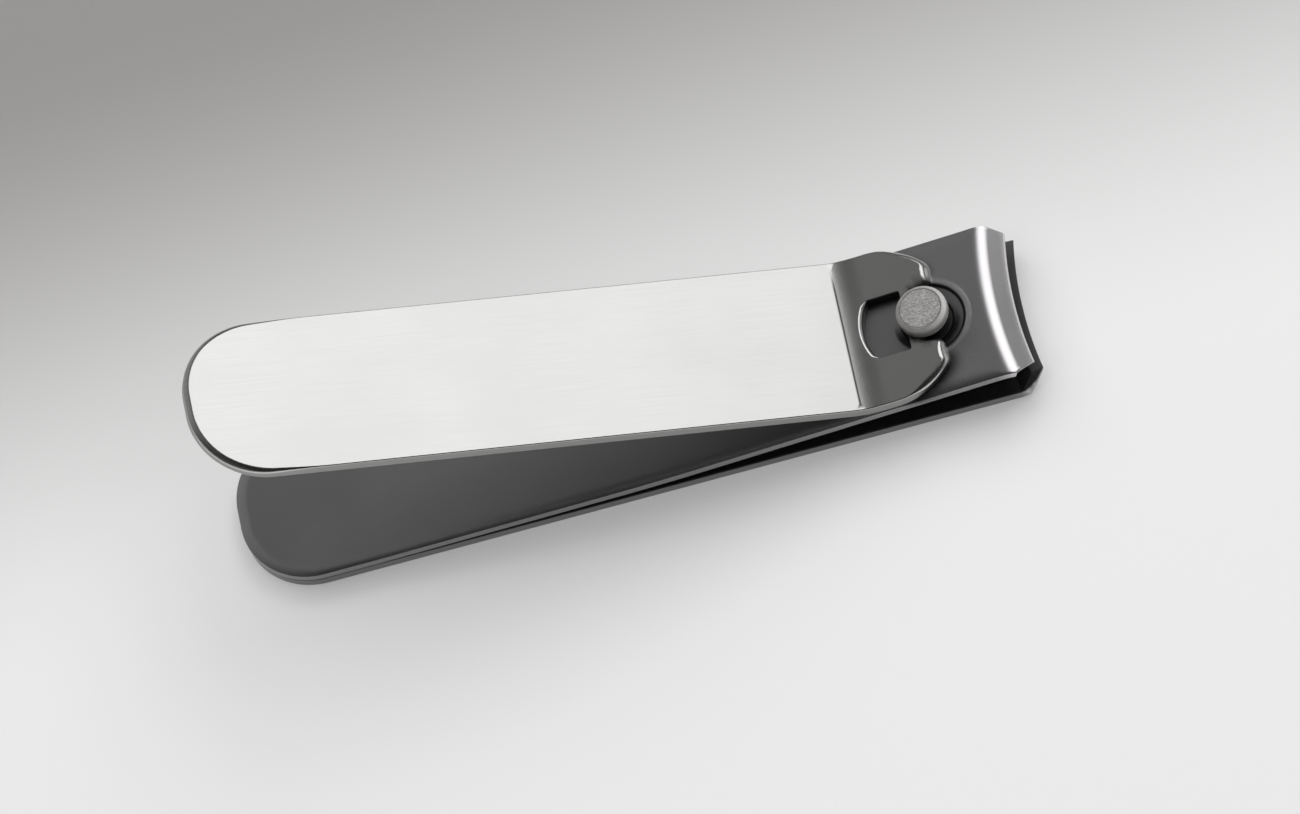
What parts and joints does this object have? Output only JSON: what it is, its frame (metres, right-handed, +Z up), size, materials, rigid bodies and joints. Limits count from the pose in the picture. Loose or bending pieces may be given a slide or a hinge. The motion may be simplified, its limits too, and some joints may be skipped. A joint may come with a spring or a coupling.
{
  "type": "nail clipper",
  "caption": "Steel nail clipper opened ready to clip: sprung arms joined at the rear, curved cutting lips, a headed pin and a folded lever hooked under the pin's head.",
  "frame": {"origin": "under the middle of the clipper's length and width, on the surface it lies on", "axes": "+X along the clipper to the jaws, +Y across it, +Z up"},
  "size_m": [0.08, 0.0166, 0.0273],
  "materials": {
    "arm_steel": "satin, polished along the bends and ground at the cutting edges",
    "weld_steel": "dull",
    "pin_steel": "turned, with a scratched flat top",
    "lever_steel": "bright satin above, dull beneath"
  },
  "bodies": {
    "lower_arm": {"lower_arm": "arm_steel", "spot_welds": "weld_steel"},
    "upper_arm": {"upper_arm": "arm_steel"},
    "pin": {"pin": "pin_steel"},
    "lever": {"lever": "lever_steel"}
  },
  "joints": [
    {"name": "pin_swivel", "type": "hinge", "parent": "lower_arm", "child": "pin", "pos_m": [0.0302, 0, 0.00524], "axis": [-0.0802, 0, 0.9968], "continuous": true},
    {"name": "lever_press", "type": "hinge", "parent": "pin", "child": "lever", "pos_m": [0.0296, 0, 0.00651], "axis": [0, -1, 0], "range_deg": [0, 7.8], "stiffness_Nm_per_rad": 2, "springref_deg": -2.86},
    {"name": "jaw_close", "type": "hinge", "parent": "lower_arm", "child": "upper_arm", "pos_m": [-0.0278, 0, 0.0011], "axis": [0, 1, 0], "range_deg": [0, 1.25]}
  ],
  "couplings": [
    {"joint": "jaw_close", "follows": "lever_press", "ratio": 0.1605}
  ]
}
